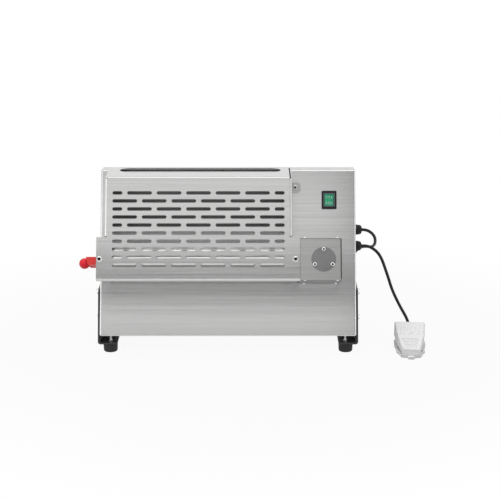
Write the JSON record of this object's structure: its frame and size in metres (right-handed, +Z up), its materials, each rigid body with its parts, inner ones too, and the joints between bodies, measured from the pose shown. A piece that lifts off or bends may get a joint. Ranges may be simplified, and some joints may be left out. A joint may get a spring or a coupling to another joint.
{
  "type": "electric dough roller",
  "caption": "Benchtop electric dough roller with a leaning steel cabinet, slotted guard over a roller pair, gap lever, rocker switch and foot pedal on a cord.",
  "frame": {"origin": "on the floor under the middle of the machine and its pedal, measured without the mains lead and the pedal's cord", "axes": "+X to the right seen from the front, +Y to the back, +Z up"},
  "size_m": [0.7846, 0.456, 0.4029],
  "materials": {
    "brushed_steel": "brushed along the width",
    "case_steel": "fine brushed",
    "disc_grey": "matte",
    "fastener_steel": "plain",
    "bearing_aluminium": "machined",
    "bush_brass": "machined",
    "bracket_black": "satin",
    "foot_rubber": "matte",
    "roller_white": "smooth food-grade plastic",
    "lever_red": "satin",
    "knob_red": "gloss",
    "black_plastic": "satin",
    "cord_black": "satin",
    "lens_green": "translucent look, gloss",
    "pedal_white": "satin"
  },
  "bodies": {
    "machine": {"base_plate": "brushed_steel", "coil_tie": "black_plastic", "drive_belt": "foot_rubber", "front_left_foot": "foot_rubber", "front_panel": "brushed_steel", "front_right_foot": "foot_rubber", "front_scraper": "brushed_steel", "gear_case": "case_steel", "gear_case_cover": "case_steel", "gear_case_floor": "case_steel", "gearbox": "bearing_aluminium", "guard_top": "brushed_steel", "inspection_disc": "disc_grey", "left_bearing_plate": "bearing_aluminium", "left_foot_bracket": "bracket_black", "left_guard_screw": "fastener_steel", "left_lower_bracket_bolt": "fastener_steel", "left_rear_bush": "bush_brass", "left_side_panel": "brushed_steel", "left_upper_bracket_bolt": "fastener_steel", "mains_coil": "cord_black", "mains_gland": "black_plastic", "mains_lead": "cord_black", "mains_plug": "black_plastic", "motor": "bearing_aluminium", "pedal_base": "pedal_white", "pedal_cord": "cord_black", "pedal_cord_boot": "black_plastic", "pedal_gland": "black_plastic", "pedal_microswitch": "black_plastic", "pedal_pin": "fastener_steel", "pedal_spring": "fastener_steel", "rear_cover": "brushed_steel", "rear_left_foot": "foot_rubber", "rear_right_foot": "foot_rubber", "rear_scraper": "brushed_steel", "right_bearing_plate": "bearing_aluminium", "right_foot_bracket": "bracket_black", "right_guard_screw": "fastener_steel", "right_lower_bracket_bolt": "fastener_steel", "right_rear_bush": "bush_brass", "right_side_panel": "brushed_steel", "right_upper_bracket_bolt": "fastener_steel", "slotted_guard": "brushed_steel", "switch_bezel": "black_plastic", "switch_body": "black_plastic"},
    "carriage": {"left_sliding_block": "bearing_aluminium", "right_sliding_block": "bearing_aluminium"},
    "front_roller": {"front_roller": "roller_white", "front_roller_gear": "fastener_steel"},
    "rear_roller": {"rear_roller": "roller_white", "rear_roller_gear": "fastener_steel", "roller_pulley": "fastener_steel"},
    "output_pulley": {"output_pulley": "fastener_steel"},
    "gap_lever": {"gap_lever": "lever_red"},
    "index_knob": {"index_knob": "knob_red"},
    "switch_rocker": {"switch_rocker": "lens_green"},
    "pedal_treadle": {"pedal_treadle": "pedal_white"}
  },
  "joints": [
    {"name": "gap_lever_turn", "type": "hinge", "parent": "machine", "child": "gap_lever", "pos_m": [-0.3488, -0.10948, 0.21716], "axis": [1, 0, 0], "range_deg": [0, 50]},
    {"name": "front_roller_shift", "type": "slide", "parent": "machine", "child": "carriage", "axis": [0, -0.9336, 0.3584], "range_m": [0, 0.0034], "stiffness_N_per_m": 100, "springref_m": 0.1018},
    {"name": "index_knob_pull", "type": "slide", "parent": "gap_lever", "child": "index_knob", "axis": [-1, 0, 0], "range_m": [0, 0.006], "stiffness_N_per_m": 500, "springref_m": -0.004},
    {"name": "rear_roller_spin", "type": "hinge", "parent": "machine", "child": "rear_roller", "pos_m": [-0.0628, -0.03265, 0.18767], "axis": [1, 0, 0], "continuous": true},
    {"name": "front_roller_spin", "type": "hinge", "parent": "carriage", "child": "front_roller", "pos_m": [-0.0628, -0.10789, 0.21655], "axis": [1, 0, 0], "continuous": true},
    {"name": "output_pulley_spin", "type": "hinge", "parent": "machine", "child": "output_pulley", "pos_m": [0.1472, 0.03325, 0.112], "axis": [1, 0, 0], "continuous": true},
    {"name": "switch_rock", "type": "hinge", "parent": "machine", "child": "switch_rocker", "pos_m": [0.1681, -0.00485, 0.33151], "axis": [-1, 0, 0], "range_deg": [0, 16]},
    {"name": "treadle_press", "type": "hinge", "parent": "machine", "child": "pedal_treadle", "pos_m": [0.35109, -0.13367, 0.011], "axis": [-0.9982, 0.0593, 0], "range_deg": [0, 6], "stiffness_Nm_per_rad": 1, "springref_deg": -11.46, "deforming": ["pedal_spring"]}
  ],
  "couplings": [
    {"joint": "gap_lever_turn", "follows": "front_roller_shift", "rad_per_m": 256.62},
    {"joint": "front_roller_spin", "follows": "rear_roller_spin", "ratio": -1},
    {"joint": "output_pulley_spin", "follows": "rear_roller_spin", "ratio": 1.5}
  ]
}
